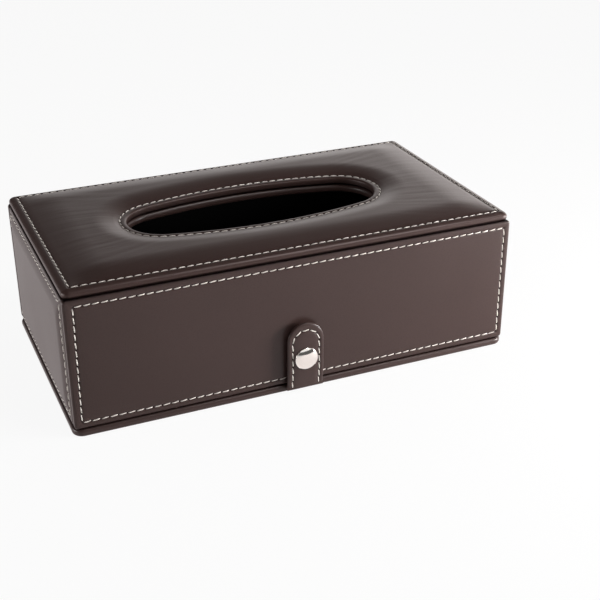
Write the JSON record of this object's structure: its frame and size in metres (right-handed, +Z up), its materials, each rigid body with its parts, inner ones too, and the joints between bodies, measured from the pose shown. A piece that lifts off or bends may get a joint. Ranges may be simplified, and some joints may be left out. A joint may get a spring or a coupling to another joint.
{
  "type": "tissue box",
  "caption": "Leather-covered tissue box with a padded top, an oval slot and a hinged bottom panel held shut by a snap strap.",
  "frame": {"origin": "underside of the bottom panel, in the middle of the four walls", "axes": "+X along the width, to the right seen from the front; +Y from the strap's side to the hinge's side; +Z up"},
  "size_m": [0.2416, 0.1405, 0.081],
  "materials": {
    "leather": "satin dark brown grained leather",
    "greyboard": "matte pressed board",
    "lining": "black flannel",
    "foam": "soft foam",
    "stiffener": "matte",
    "nickel": "polished nickel"
  },
  "bodies": {
    "base": {"base_cover": "leather", "base_board": "greyboard", "base_lining": "lining", "strap_tail": "leather", "hinge_base_leaf": "leather"},
    "box": {"deck_board": "greyboard", "deck_cover": "leather", "deck_lining": "lining", "front_wall_board": "greyboard", "front_wall_cover": "leather", "front_wall_lining": "lining", "hinge_wall_leaf": "leather", "left_wall_board": "greyboard", "left_wall_cover": "leather", "left_wall_lining": "lining", "rear_wall_board": "greyboard", "rear_wall_cover": "leather", "rear_wall_lining": "lining", "right_wall_board": "greyboard", "right_wall_cover": "leather", "right_wall_lining": "lining", "snap_rivet": "nickel", "snap_stud": "nickel", "top_board": "greyboard", "top_cover": "leather", "top_foam": "foam"},
    "strap": {"strap_face": "leather", "strap_core": "stiffener", "strap_back": "leather", "snap_cap": "nickel", "snap_socket": "nickel"}
  },
  "joints": [
    {"name": "box_hinge", "type": "hinge", "parent": "base", "child": "box", "pos_m": [0, 0.0669, 0.00455], "axis": [-1, 0, 0], "range_deg": [0, 90]},
    {"name": "strap_fold", "type": "hinge", "parent": "base", "child": "strap", "pos_m": [0, -0.0688, 0.0028], "axis": [1, 0, 0], "range_deg": [0, 75]}
  ]
}
